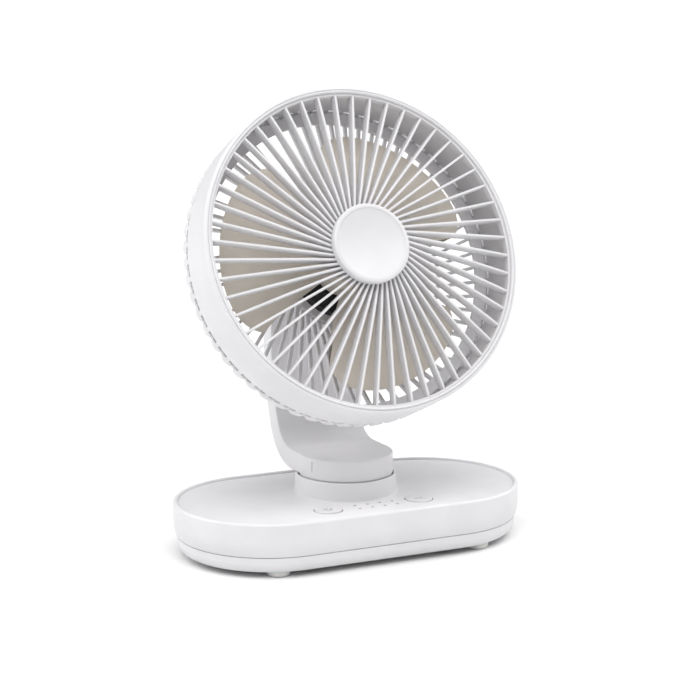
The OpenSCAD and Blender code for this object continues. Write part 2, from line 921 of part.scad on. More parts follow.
module bearing_tube() {
    color("goldenrod") in_head() ring(4, 3, -plate_front - 3, -17);
}

module motor_bearings() {
    color("silver") in_head() {
        ring(3 - eps, shaft_radius + running_gap, -20, -17.2);
        ring(3 - eps, shaft_radius + running_gap, -plate_front - 2.8, -plate_front);
    }
}

module stator_core() {
    color("gray") in_head() difference() {
        union() {
            ring(6, 4 + eps, -28, -20);
            for (a = [0:60:359]) rotate([0, 0, a]) translate([4.6, -1, -28]) cube([6, 2, 8]);
            difference() {
                ring(10.6, 9.4, -28, -20);
                for (a = [30:60:359]) rotate([0, 0, a]) translate([8, -1, -29]) cube([4, 2, 10]);
            }
        }
        rod(4 + eps, -40, 0);
    }
}

module stator_coils() {
    color("peru") in_head() for (a = [0:60:359]) rotate([0, 0, a]) difference() {
        translate([6.3, -1.9, -28.6]) cube([2.8, 3.8, 9.2]);
        translate([6, -1, -28]) cube([4, 2, 8]);
    }
}

module cage_screws() {
    color("silver") in_head() housing_screws() {
        rod(screw_radius - 0.25, -cage_hub_depth - 6, -plate_front - 1.5);
    }
}

// ---------- impeller ----------

blade_steps = 14;
span_steps = 7;

// Tip radius along the blade, from its leading edge at 0 to its trailing edge at 1
function tip_radius(t) = blade_radius - (blade_radius - hub_radius) * 0.16 * pow(abs(2 * t - 1), 6);

// Point on the blade: t runs round the axis, s runs out from the hub, side is the face
function blade_point(t, s, side) =
    let (
        r = hub_radius - 1 + (tip_radius(t) - hub_radius + 1) * s,
        a = blade_start + (1 - t) * 4 * s + t * blade_sweep - 8 * s * (1 - s),
        twist = 0.55 + 0.45 * s,
        mid = -(blade_front + blade_back) / 2 + (0.5 - t) * (blade_back - blade_front - 2) * twist,
        bow = -2.2 * sin(180 * t) * s
    ) [r * cos(a), r * sin(a), mid + bow + side * blade_thickness / 2];

module blade() {
    columns = span_steps + 1;
    face = (blade_steps + 1) * columns;
    points = [for (side = [-1, 1], j = [0:blade_steps], i = [0:span_steps])
        blade_point(j / blade_steps, i / span_steps, side)];
    function id(side, j, i) = side * face + j * columns + i;
    quads = concat(
        [for (j = [0:blade_steps - 1], i = [0:span_steps - 1])
            [id(1, j, i), id(1, j, i + 1), id(1, j + 1, i + 1), id(1, j + 1, i)]],
        [for (j = [0:blade_steps - 1], i = [0:span_steps - 1])
            [id(0, j, i), id(0, j + 1, i), id(0, j + 1, i + 1), id(0, j, i + 1)]],
        [for (j = [0:blade_steps - 1]) [id(0, j, 0), id(1, j, 0), id(1, j + 1, 0), id(0, j + 1, 0)]],
        [for (j = [0:blade_steps - 1])
            [id(1, j, span_steps), id(0, j, span_steps), id(0, j + 1, span_steps), id(1, j + 1, span_steps)]],
        [for (i = [0:span_steps - 1]) [id(0, 0, i), id(0, 0, i + 1), id(1, 0, i + 1), id(1, 0, i)]],
        [for (i = [0:span_steps - 1])
            [id(1, blade_steps, i), id(1, blade_steps, i + 1), id(0, blade_steps, i + 1), id(0, blade_steps, i)]]
    );
    triangles = [for (q = quads) each [[q[0], q[1], q[2]], [q[0], q[2], q[3]]]];
    polyhedron(points, [for (t = triangles) [t[2], t[1], t[0]]]);
}

module impeller() {
    color("tan") in_head() {
        rotate_extrude() polygon(concat(
            [[3, -hub_front], [hub_radius - 3, -hub_front]],
            arc([hub_radius - 3, -hub_front - 3], 3, 90, 0, 5),
            [[hub_radius, -hub_back], [can_radius + eps, -hub_back], [can_radius + eps, -hub_front - 3.4],
             [3, -hub_front - 3.4]]
        ));
        for (i = [0:blade_count - 1]) rotate([0, 0, i * 360 / blade_count]) difference() {
            blade();
            rod(can_radius + 2, -40, 0);
        }
    }
}

module rotor_can() {
    color("silver") in_head() rotate_extrude() polygon([
        [shaft_radius + eps, -hub_front - 3.5], [can_radius, -hub_front - 3.5], [can_radius, -hub_back],
        [can_radius - 1, -hub_back], [can_radius - 1, -hub_front - 4.7], [shaft_radius + eps, -hub_front - 4.7]
    ]);
}

module rotor_magnet() {
    color("dimgray") in_head() ring(can_radius - 1 - eps, can_radius - 2.8, -hub_back + 0.3, -18);
}

module motor_shaft() {
    color("gray") in_head() rod(shaft_radius, -plate_front - 2.8, -hub_front - 0.4);
}

module impeller_nut() {
    color("gray") in_head() difference() {
        rod(2.9, -hub_front - 3.3, -hub_front);
        rod(shaft_radius + eps, -40, 0);
    }
}

// ---------- nodes ----------

bottom_shell();
top_shell();
top_panel();
foot(-1, -1);  // foot_front_left
foot(1, -1);  // foot_front_right
foot(-1, 1);  // foot_rear_left
foot(1, 1);  // foot_rear_right
base_screws();
power_button();
swing_button();
power_switch_plunger();
swing_switch_plunger();
tact_switches();
control_board();
light_guides();
led_chips();
battery_cells();
battery_cradle();
battery_tabs();
ballast_plate();
ballast_screws();
charge_board();
usb_c_socket();
usb_c_tongue();
swing_motor();
swing_motor_shaft();
drive_pinion();
slip_washer();
turntable_spindle();
turntable_gear();
spindle_clip();
spindle_screws();
arm_shell();
arm_cover();
arm_lead();
tilt_pin();
tilt_washers();
tilt_cap_left();
tilt_cap_right();
motor_housing();
motor_plate();
motor_board();
bearing_tube();
motor_bearings();
stator_core();
stator_coils();
rear_cage();
front_ring();
front_grille();
centre_cap();
cage_screws();
impeller();
rotor_can();
rotor_magnet();
motor_shaft();
impeller_nut();
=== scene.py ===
"""Rechargeable desk fan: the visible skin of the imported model, its finishes, a studio and a camera."""

import json
from math import asin, atan2, cos, pi, radians, sin, sqrt

import bmesh
import bpy
from bpy.props import FloatProperty, FloatVectorProperty, IntProperty, PointerProperty
from mathutils import Matrix, Vector


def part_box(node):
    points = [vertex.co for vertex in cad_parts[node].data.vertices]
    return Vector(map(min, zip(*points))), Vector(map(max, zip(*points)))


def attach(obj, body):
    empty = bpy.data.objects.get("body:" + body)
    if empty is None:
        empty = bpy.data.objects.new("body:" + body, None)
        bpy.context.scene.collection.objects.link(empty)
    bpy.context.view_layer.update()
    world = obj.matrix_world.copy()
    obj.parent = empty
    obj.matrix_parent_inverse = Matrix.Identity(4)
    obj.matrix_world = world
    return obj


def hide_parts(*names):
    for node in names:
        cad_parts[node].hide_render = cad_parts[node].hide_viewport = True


bl_info = {
    "name": "Desk fan",
    "version": (1, 0, 0),
    "blender": (4, 5, 0),
    "location": "3D View > Sidebar > Desk fan",
    "description": "Builds the skin, finishes and studio of a small rechargeable desk fan",
    "category": "Add Mesh",
}

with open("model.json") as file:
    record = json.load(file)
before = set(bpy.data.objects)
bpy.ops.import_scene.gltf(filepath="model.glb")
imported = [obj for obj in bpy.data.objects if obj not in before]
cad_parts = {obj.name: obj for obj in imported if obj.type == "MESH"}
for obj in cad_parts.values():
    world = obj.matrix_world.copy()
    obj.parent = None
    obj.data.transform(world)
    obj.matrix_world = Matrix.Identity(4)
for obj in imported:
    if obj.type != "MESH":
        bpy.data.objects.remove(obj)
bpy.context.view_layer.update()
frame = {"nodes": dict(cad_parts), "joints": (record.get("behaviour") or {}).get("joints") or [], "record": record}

MM = 0.001
AXIS = 0.001  # radius in mm of a revolved outline where it meets its axis; tidy() closes it
# Turns a flat outline so that it is drawn out along X, with its own X along Y and its own Y along Z
ALONG_X = Matrix(((0, 0, 1, 0), (1, 0, 0, 0), (0, 1, 0, 0), (0, 0, 0, 1)))
JOINTS = {joint["name"]: joint for joint in frame["joints"]}
TILT_PIN = Vector(JOINTS["head_tilt"]["pos_m"])
HEAD_FORWARD = Vector(JOINTS["fan_spin"]["axis"]).normalized()
SWING_AXIS_Y = JOINTS["head_swing"]["pos_m"][1]


def mid(node):
    """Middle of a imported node's box."""
    low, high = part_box(node)
    return (low + high) / 2


def span(node):
    """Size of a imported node's box."""
    low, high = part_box(node)
    return high - low


# ---------- settings ----------


def linear(hex_colour):
    """Turns an sRGB hex colour into a linear one with alpha."""
    channels = [int(hex_colour[i:i + 2], 16) / 255 for i in (1, 3, 5)]
    return tuple(
        c / 12.92 if c <= 0.04045 else ((c + 0.055) / 1.055) ** 2.4 for c in channels) + (1.0,)


class BaseSettings(bpy.types.PropertyGroup):
    """Sizes of the base."""

    length: FloatProperty(
        name="Length", description="Length of the base from side to side",
        default=span("top_shell").x, unit="LENGTH", subtype="DISTANCE")
    depth: FloatProperty(
        name="Depth", description="Depth of the base from front to back",
        default=span("top_shell").y, unit="LENGTH", subtype="DISTANCE")
    rim_height: FloatProperty(
        name="Rim height", description="Height of the raised rim above the table",
        default=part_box("top_shell")[1].z, unit="LENGTH", subtype="DISTANCE")
    parting_height: FloatProperty(
        name="Parting height", description="Height of the joint between the two shells",
        default=11 * MM, unit="LENGTH", subtype="DISTANCE")
    panel_drop: FloatProperty(
        name="Panel drop", description="How far the top panel lies under the rim",
        default=1.2 * MM, unit="LENGTH", subtype="DISTANCE")
    collar_top: FloatProperty(
        name="Collar top", description="Height of the collar that the arm turns in",
        default=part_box("top_panel")[1].z, unit="LENGTH", subtype="DISTANCE")


class ArmSettings(bpy.types.PropertyGroup):
    """Sizes of the curved arm."""

    drum_radius: FloatProperty(
        name="Drum radius", description="Radius of the round foot of the arm",
        default=24.6 * MM, unit="LENGTH", subtype="DISTANCE")
    half_width: FloatProperty(
        name="Half width", description="Half the width of the arm behind the drum",
        default=24.4 * MM, unit="LENGTH", subtype="DISTANCE")
    thickness: FloatProperty(
        name="Thickness", description="Thickness of the arm seen from the side",
        default=10.8 * MM, unit="LENGTH", subtype="DISTANCE")
    foot_bend_radius: FloatProperty(
        name="Foot bend", description="Radius of the bend where the arm leaves the drum",
        default=22.4 * MM, unit="LENGTH", subtype="DISTANCE")
    back_bend_radius: FloatProperty(
        name="Back bend", description="Radius of the long bend behind the head",
        default=116 * MM, unit="LENGTH", subtype="DISTANCE")


class HeadSettings(bpy.types.PropertyGroup):
    """Sizes of the round head."""

    reach: FloatProperty(
        name="Reach", description="Distance from the tilt pin to the front plane of the head",
        default=73 * MM, unit="LENGTH", subtype="DISTANCE")
    ring_radius: FloatProperty(
        name="Ring radius", description="Outer radius of the front ring",
        default=85.2 * MM, unit="LENGTH", subtype="DISTANCE")
    ring_depth: FloatProperty(
        name="Ring depth", description="Depth of the front ring",
        default=28 * MM, unit="LENGTH", subtype="DISTANCE")
    cap_radius: FloatProperty(
        name="Cap radius", description="Radius of the centre cap",
        default=20.6 * MM, unit="LENGTH", subtype="DISTANCE")
    fins: IntProperty(
        name="Fins", description="Number of fins in the front grille", default=52)
    ribs: IntProperty(
        name="Ribs", description="Number of ribs and scallops in the rear cage", default=60)


class ImpellerSettings(bpy.types.PropertyGroup):
    """Sizes of the impeller."""

    blades: IntProperty(name="Blades", description="Number of blades", default=3)
    radius: FloatProperty(
        name="Radius", description="Radius over the blade tips",
        default=69 * MM, unit="LENGTH", subtype="DISTANCE")
    sweep: FloatProperty(
        name="Sweep", description="Angle that one blade covers",
        default=radians(90), unit="ROTATION", subtype="ANGLE")


class FinishSettings(bpy.types.PropertyGroup):
    """Colours of the parts that show."""

    shell: FloatVectorProperty(
        name="Shells", description="Colour of the shells, arm, ring, grille and cage",
        default=linear("#DFDEE0"), size=4, min=0, max=1, subtype="COLOR")
    panel: FloatVectorProperty(
        name="Panel", description="Colour of the sunk top panel and its collar",
        default=linear("#E2E1E3"), size=4, min=0, max=1, subtype="COLOR")
    keys: FloatVectorProperty(
        name="Keys", description="Colour of the two push keys",
        default=linear("#DEDDDF"), size=4, min=0, max=1, subtype="COLOR")
    marks: FloatVectorProperty(
        name="Marks", description="Colour of the marks printed on the keys",
        default=linear("#77777B"), size=4, min=0, max=1, subtype="COLOR")
    impeller: FloatVectorProperty(
        name="Impeller", description="Colour of the blades",
        default=linear("#E4DCD0"), size=4, min=0, max=1, subtype="COLOR")
    feet: FloatVectorProperty(
        name="Feet", description="Colour of the soft feet",
        default=linear("#D8D8D6"), size=4, min=0, max=1, subtype="COLOR")


class StudioSettings(bpy.types.PropertyGroup):
    """Camera and lights."""

    camera_azimuth: FloatProperty(
        name="Azimuth", description="Direction the camera looks from; 0 is the front",
        default=radians(-25.51), unit="ROTATION", subtype="ANGLE")
    camera_elevation: FloatProperty(
        name="Elevation", description="Height of the camera as an angle",
        default=radians(10.9), unit="ROTATION", subtype="ANGLE")
    camera_distance: FloatProperty(
        name="Distance", description="Distance from the camera to what it looks at",
        default=1.0235, unit="LENGTH", subtype="DISTANCE")
    camera_target: FloatVectorProperty(
        name="Target", description="Point the camera looks at",
        default=(0.0007, -0.0003, 0.1022), size=3, unit="LENGTH", subtype="XYZ")
    camera_lens: FloatProperty(
        name="Lens", description="Focal length in millimetres on a 36 mm sensor", default=102.4)


# ---------- outlines and meshes ----------


def arc(centre, radius, start, end, steps):
    """Points on a circle about a centre, from one angle to another in degrees."""
    points = []
    for i in range(steps + 1):
        angle = radians(start + (end - start) * i / steps)
        points.append((centre[0] + radius * cos(angle), centre[1] + radius * sin(angle)))
    return points


def stadium(radius, offset, steps=64):
    """Flat outline of two half circles, each at the given offset from the middle, and two straights."""
    return arc((offset, 0), radius, -90, 90, steps) + arc((-offset, 0), radius, 90, 270, steps)


def disc(radius, low, high):
    """Outline of a plain disc between two heights, to be revolved."""
    return [(AXIS, low), (radius, low), (radius, high), (AXIS, high)]


def in_mm(points):
    """The same points, given in millimetres."""
    return [tuple(value * MM for value in point) for point in points]


def skin(bm, rows, closed_path):
    """Closed outlines placed one after another, joined by faces; open ends are capped."""
    rings = [[bm.verts.new(point) for point in row] for row in rows]
    count = len(rings)
    for i in range(count if closed_path else count - 1):
        here, there = rings[i], rings[(i + 1) % count]
        for j in range(len(here)):
            k = (j + 1) % len(here)
            bm.faces.new((here[j], here[k], there[k], there[j]))
    if not closed_path:
        bm.faces.new(rings[0])
        bm.faces.new(list(reversed(rings[-1])))


def revolve(bm, outline, steps=192, centre=(0, 0)):
    """Closed outline of (radius, height) points turned about an upright axis."""
    rows = []
    for i in range(steps):
        angle = 2 * pi * i / steps
        rows.append([(centre[0] + r * cos(angle), centre[1] + r * sin(angle), z) for r, z in outline])
    skin(bm, rows, True)


def racetrack(bm, outline, end_offset, steps=64):
    """Closed outline of (radius, height) points led round two half circles and two straights."""
    rows = []
    for side in (1, -1):
        for i in range(steps + 1):
            angle = pi * i / steps - pi / 2
            rows.append([
                (side * (end_offset + r * cos(angle)), side * r * sin(angle), z) for r, z in outline
            ])
    skin(bm, rows, True)


def prism(bm, outline, low, high, place=Matrix.Identity(4)):
    """Flat outline drawn out along its own Z and then put in place."""
    rows = [[place @ Vector((x, y, z)) for x, y in outline] for z in (low, high)]
    skin(bm, rows, False)


def tidy(bm):
    """Joins points that coincide, drops edges left without a face and turns every face outwards."""
    bmesh.ops.remove_doubles(bm, verts=bm.verts, dist=5 * AXIS * MM)
    bmesh.ops.dissolve_degenerate(bm, edges=bm.edges, dist=AXIS * MM)
    bare = [edge for edge in bm.edges if not edge.link_faces]
    bmesh.ops.delete(bm, geom=bare, context="EDGES")
    bmesh.ops.recalc_face_normals(bm, faces=bm.faces)


def round_edges(bm, width, sharper_than=40, segments=3):
    """Rounds every edge that turns by more than the given angle in degrees."""
    tidy(bm)
    edges = [
        edge for edge in bm.edges
        if edge.is_manifold and edge.calc_face_angle(0) > radians(sharper_than)
    ]
    bmesh.ops.bevel(bm, geom=edges, offset=width, segments=segments, profile=0.5,
                    affect="EDGES", clamp_overlap=True)


def to_object(bm, name, smooth_under=38):
    """Turns a bmesh into an object with smooth shading under the given edge angle."""
    tidy(bm)
    mesh = bpy.data.meshes.new(name)
    bm.to_mesh(mesh)
    bm.free()
    mesh.shade_smooth()
    mesh.set_sharp_from_angle(angle=radians(smooth_under))
    piece = bpy.data.objects.new(name, mesh)
    bpy.context.scene.collection.objects.link(piece)
    return piece


def combine(piece, tool, how):
    """Cuts, joins or trims a piece with another mesh, which is used up."""
    change = piece.modifiers.new(how, "BOOLEAN")
    change.operation = how
    change.solver = "EXACT"
    change.object = tool
    graph = bpy.context.evaluated_depsgraph_get()
    mesh = bpy.data.meshes.new_from_object(piece.evaluated_get(graph))
    bm = bmesh.new()
    bm.from_mesh(mesh)
    tidy(bm)
    bm.to_mesh(mesh)
    bm.free()
    piece.modifiers.clear()
    old = piece.data
    piece.data = mesh
    bpy.data.meshes.remove(old)
    bpy.data.objects.remove(tool)
    mesh.shade_smooth()
    mesh.set_sharp_from_angle(angle=radians(38))


def finish_piece(piece, body, slot, nodes=(), material=None):
    """Gives a piece its finish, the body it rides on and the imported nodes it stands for."""
    piece.data.materials.clear()
    piece.data.materials.append(material or finish(slot))
    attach(piece, body)
    if nodes:
        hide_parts(*nodes)


def head_place():
    """Where the head sits: Z out of the front, origin in the plane of the front lip."""
    reach = bpy.context.scene.fan_head.reach
    up_tilt = atan2(HEAD_FORWARD.z, -HEAD_FORWARD.y)
    turn = Matrix.Rotation(pi / 2 - up_tilt, 4, "X")
    return Matrix.Translation(TILT_PIN + HEAD_FORWARD * reach) @ turn


def about_z(index, count, start=0):
    """Turn about Z for one of a ring of like pieces, starting at an angle in degrees."""
    return Matrix.Rotation(radians(start) + 2 * pi * index / count, 4, "Z")


# ---------- finishes ----------


def add_node(tree, kind, inputs=None, **settings):
    """Adds a node with its settings; an input is a number, a colour or another node's output."""
    made = tree.nodes.new(kind)
    for name, value in settings.items():
        setattr(made, name, value)
    for name, value in (inputs or {}).items():
        if isinstance(value, bpy.types.NodeSocket):
            tree.links.new(value, made.inputs[name])
        else:
            made.inputs[name].default_value = value
    return made


def faded(colour, share):
    """A colour with its brightness brought down to a share of it."""
    return tuple(channel * share for channel in colour[:3]) + (1.0,)


def per_size(size_mm):
    """Texture scale at which one feature has the given size."""
    return 1 / (size_mm * MM)


def surface(name, colour, shade, roughness, spread, grain_mm, grain_depth_mm, cloud_mm=18,
            stretch=(1, 1, 1), **shader):
    """A surface with a fine grain, soft clouds of a second shade and an uneven polish."""
    material = bpy.data.materials.new(name)
    material.use_nodes = True
    tree = material.node_tree
    tree.nodes.clear()
    place = add_node(tree, "ShaderNodeTexCoord")
    run = add_node(tree, "ShaderNodeMapping", {"Vector": place.outputs["Object"], "Scale": stretch})
    grain = add_node(tree, "ShaderNodeTexNoise", {
        "Vector": run.outputs["Vector"], "Scale": per_size(grain_mm), "Detail": 3.0})
    clouds = add_node(tree, "ShaderNodeTexNoise", {
        "Vector": place.outputs["Object"], "Scale": per_size(cloud_mm), "Detail": 2.0})
    blend = add_node(tree, "ShaderNodeMapRange", {
        "Value": clouds.outputs["Fac"], "From Min": 0.35, "From Max": 0.65})
    paint = add_node(tree, "ShaderNodeMix", {
        "Factor": blend.outputs["Result"], "A": tuple(colour), "B": tuple(shade)}, data_type="RGBA")
    polish = add_node(tree, "ShaderNodeMapRange", {
        "Value": grain.outputs["Fac"], "From Min": 0.3, "From Max": 0.7,
        "To Min": roughness - spread, "To Max": roughness + spread})
    bump = add_node(tree, "ShaderNodeBump", {
        "Height": grain.outputs["Fac"], "Strength": 0.6, "Distance": grain_depth_mm * MM})
    shading = add_node(tree, "ShaderNodeBsdfPrincipled", {
        "Base Color": paint.outputs["Result"], "Roughness": polish.outputs["Result"],
        "Normal": bump.outputs["Normal"], **shader})
    add_node(tree, "ShaderNodeOutputMaterial", {"Surface": shading.outputs["BSDF"]})
    return material


MADE = {}


def finish(slot):
    """The finish for one material slot of the record, made once."""
    if slot not in MADE:
        MADE[slot] = FINISHES[slot]()
    return MADE[slot]


def white_abs():
    """Moulded ABS with a fine spark-eroded texture: a soft white that never mirrors."""
    colour = bpy.context.scene.fan_finish.shell
    return surface("moulded_white_abs", colour, faded(colour, 0.96), 0.42, 0.05, 0.35, 0.02, IOR=1.53)


def panel_abs():
    """The same moulded ABS, a touch smoother, because fingers wipe this panel."""
    colour = bpy.context.scene.fan_finish.panel
    return surface("moulded_panel_abs", colour, faded(colour, 0.96), 0.36, 0.05, 0.35, 0.015, IOR=1.53)


def key_abs():
    """Moulded ABS of the push keys, slightly greyer where they are touched."""
    colour = bpy.context.scene.fan_finish.keys
    return surface("moulded_key_abs", colour, faded(colour, 0.93),
                   0.33, 0.06, 0.3, 0.01, cloud_mm=6, IOR=1.53)


def fan_polypropylene():
    """Moulded polypropylene of the blades: a warm off-white with a waxy, even sheen."""
    colour = bpy.context.scene.fan_finish.impeller
    return surface("moulded_polypropylene", colour, faded(colour, 0.92),
                   0.40, 0.05, 0.5, 0.01, IOR=1.49)


def silicone():
    """Moulded silicone feet: pale, a little see-through, with a dull skin."""
    colour = bpy.context.scene.fan_finish.feet
    return surface("moulded_silicone", colour, faded(colour, 0.92), 0.55, 0.06, 0.4, 0.02, IOR=1.41,
                   **{"Subsurface Weight": 0.15, "Subsurface Scale": 0.002})


def black_nylon():
    """Moulded glass-filled nylon: near black, with a dry grain."""
    return surface("moulded_black_nylon", linear("#17181A"), linear("#202124"),
                   0.50, 0.08, 0.4, 0.02, IOR=1.53)


def circuit_board():
    """Green solder mask over woven glass: glossy, with a faint mottling of the weave."""
    return surface("solder_mask_board", linear("#1B5434"), linear("#16472C"),
                   0.25, 0.05, 0.5, 0.01, cloud_mm=3, IOR=1.55)


def frosted_acrylic():
    """Moulded acrylic light guides: clear plastic with a frosted face that spreads the light."""
    return surface("frosted_acrylic", linear("#9A9DA2"), linear("#8E9196"),
                   0.35, 0.05, 0.3, 0.005, IOR=1.49,
                   **{"Transmission Weight": 0.2})


def led_package():
    """White ceramic-filled package of an LED: chalky and bright."""
    return surface("led_package", linear("#EFE9CF"), linear("#E6DDB8"),
                   0.45, 0.05, 0.2, 0.002, cloud_mm=1, IOR=1.6)


def shrink_sleeve():
    """PVC shrink sleeve over a steel cell: blue and glossy, with shallow ripples from shrinking."""
    return surface("pvc_shrink_sleeve", linear("#2C5F93"), linear("#265584"),
                   0.28, 0.05, 4.0, 0.05, IOR=1.54)


def nickel_strip():
    """Rolled nickel strip: bright warm grey with fine rolling lines."""
    return surface("rolled_nickel", linear("#B9B3A8"), linear("#ABA59B"), 0.32, 0.08, 0.3, 0.005,
                   stretch=(0.1, 1, 1), Metallic=1.0)


def cast_iron():
    """Sand-cast iron: dark grey with a coarse, dull skin."""
    return surface("sand_cast_iron", linear("#5A5A5C"), linear("#4C4C4E"),
                   0.62, 0.1, 0.9, 0.12, Metallic=0.9)


def zinc_steel():
    """Zinc-plated steel of the screws: bright cool grey, finely matt."""
    return surface("zinc_plated_steel", linear("#B7B9BC"), linear("#A6A9AD"),
                   0.33, 0.08, 0.25, 0.005, Metallic=1.0)


def socket_steel():
    """Stamped stainless steel of the charging socket: bright, with drawing lines."""
    return surface("stamped_stainless", linear("#BCBDBF"), linear("#ABACAF"), 0.26, 0.06, 0.2, 0.003,
                   stretch=(1, 0.1, 1), Metallic=1.0)


def drawn_steel():
    """Drawn steel of cans, pins and shafts: grey with faint lines along the draw."""
    return surface("drawn_steel", linear("#A8AAAD"), linear("#97999D"), 0.30, 0.08, 0.3, 0.005,
                   stretch=(1, 1, 0.1), Metallic=1.0)


def acetal():
    """Natural acetal of gears and washers: ivory, slippery and slightly see-through."""
    return surface("natural_acetal", linear("#E7E2D0"), linear("#DED8C3"),
                   0.32, 0.05, 0.4, 0.005, IOR=1.48,
                   **{"Subsurface Weight": 0.1, "Subsurface Scale": 0.002})


def lead_sleeve():
    """Extruded PVC sleeve of the lead: black with a soft shine."""
    return surface("extruded_pvc", linear("#1B1B1C"), linear("#242425"),
                   0.45, 0.06, 0.4, 0.01, IOR=1.53)


def friction_fibre():
    """Pressed fibre of the friction washers: brown-black, with short matted fibres."""
    return surface("pressed_fibre", linear("#4A4038"), linear("#3A322C"),
                   0.85, 0.08, 0.6, 0.05, cloud_mm=2,
                   stretch=(1, 4, 1))


def turned_brass():
    """Turned brass of the bearing tube: yellow with fine turning rings."""
    return surface("turned_brass", linear("#C9A15A"), linear("#B8914C"),
                   0.28, 0.07, 0.25, 0.005, Metallic=1.0)


def laminated_steel():
    """Stacked electrical steel of the stator: dark grey, in thin layers."""
    return surface("laminated_steel", linear("#5B5D61"), linear("#484A4E"), 0.50, 0.1, 0.5, 0.03,
                   stretch=(1, 1, 6), Metallic=0.9)


def enamelled_copper():
    """Enamelled copper wire: orange-brown under a clear glossy coat."""
    return surface("enamelled_copper", linear("#B5652F"), linear("#9C5325"), 0.30, 0.08, 0.35, 0.05,
                   stretch=(1, 1, 4), Metallic=0.9, **{"Coat Weight": 0.6})


def ferrite():
    """Moulded ferrite magnet: charcoal grey and chalky."""
    return surface("moulded_ferrite", linear("#2B2C2E"), linear("#232426"), 0.65, 0.08, 0.4, 0.02)


FINISHES = {
    "white_shell": white_abs,
    "panel_plastic": panel_abs,
    "arm_cover_plastic": white_abs,
    "foot_rubber": silicone,
    "button_plastic": key_abs,
    "switch_plastic": black_nylon,
    "board": circuit_board,
    "light_guide": frosted_acrylic,
    "led_body": led_package,
    "cell_sleeve": shrink_sleeve,
    "black_plastic": black_nylon,
    "nickel_strip": nickel_strip,
    "ballast_iron": cast_iron,
    "screw_steel": zinc_steel,
    "socket_steel": socket_steel,
    "motor_steel": drawn_steel,
    "gear_plastic": acetal,
    "lead_sleeve": lead_sleeve,
    "friction_fibre": friction_fibre,
    "bearing_brass": turned_brass,
    "stator_iron": laminated_steel,
    "copper_wire": enamelled_copper,
    "impeller_plastic": fan_polypropylene,
    "magnet": ferrite,
}


# ---------- studio ----------


class FAN_OT_camera(bpy.types.Operator):
    """Adds the camera."""

    bl_idname = "fan.camera"
    bl_label = "Camera"

    def execute(self, context):
        studio = context.scene.fan_studio
        azimuth, elevation = studio.camera_azimuth, studio.camera_elevation
        back = Vector((
            sin(azimuth) * cos(elevation), -cos(azimuth) * cos(elevation), sin(elevation)))
        lens = bpy.data.cameras.new("camera")
        lens.lens = studio.camera_lens
        lens.sensor_width = 36
        lens.clip_start = 0.05
        lens.clip_end = 200
        camera = bpy.data.objects.new("camera", lens)
        camera.location = Vector(studio.camera_target) + back * studio.camera_distance
        camera.rotation_euler = (-back).to_track_quat("-Z", "Y").to_euler()
        context.scene.collection.objects.link(camera)
        context.scene.camera = camera
        return {"FINISHED"}


def add_sun(name, azimuth, elevation, strength, softness):
    """A very soft sun that shines from a direction given as for the camera, in degrees."""
    light = bpy.data.lights.new(name, "SUN")
    light.energy = strength
    light.angle = radians(softness)
    a, e = radians(azimuth), radians(elevation)
    source = Vector((sin(a) * cos(e), -cos(a) * cos(e), sin(e)))
    lamp = bpy.data.objects.new(name, light)
    lamp.rotation_euler = (-source).to_track_quat("-Z", "Y").to_euler()
    bpy.context.scene.collection.objects.link(lamp)


class FAN_OT_studio(bpy.types.Operator):
    """Adds the pale floor, the lights and the white surround."""

    bl_idname = "fan.studio"
    bl_label = "Studio"

    def execute(self, context):
        scene = context.scene
        scene.view_settings.view_transform = "Standard"
        half = 60
        mesh = bpy.data.meshes.new("floor")
        mesh.from_pydata([(-half, -half, 0), (half, -half, 0), (half, half, 0), (-half, half, 0)],
                         [], [(0, 1, 2, 3)])
        floor = bpy.data.objects.new("floor", mesh)
        scene.collection.objects.link(floor)
        mesh.materials.append(surface(
            "matt_paper_floor", linear("#EEEEEE"), linear("#ECECEC"), 0.9, 0.05, 2.0, 0.0, cloud_mm=400,
            **{"Specular IOR Level": 0.0}))

        add_sun("left_softbox", -118, 36, 1.35, 50)
        add_sun("right_softbox", 95, 38, 1.35, 50)
        add_sun("top_softbox", -20, 62, 2.0, 50)

        world = bpy.data.worlds.new("white_surround")
        scene.world = world
        world.use_nodes = True
        tree = world.node_tree
        tree.nodes.clear()
        ray = add_node(tree, "ShaderNodeLightPath")
        strength = add_node(tree, "ShaderNodeMapRange", {
            "Value": ray.outputs["Is Camera Ray"], "To Min": 0.36, "To Max": 1.1})
        glow = add_node(tree, "ShaderNodeBackground", {
            "Color": linear("#FFFFFF"), "Strength": strength.outputs["Result"]})
        add_node(tree, "ShaderNodeOutputWorld", {"Surface": glow.outputs["Background"]})
        return {"FINISHED"}


# ---------- base ----------


def end_radius():
    """Radius of the rounded ends of the base."""
    return bpy.context.scene.fan_base.depth / 2


def end_offset():
    """Distance from the middle of the base to the middle of its rounded ends."""
    base = bpy.context.scene.fan_base
    return (base.length - base.depth) / 2


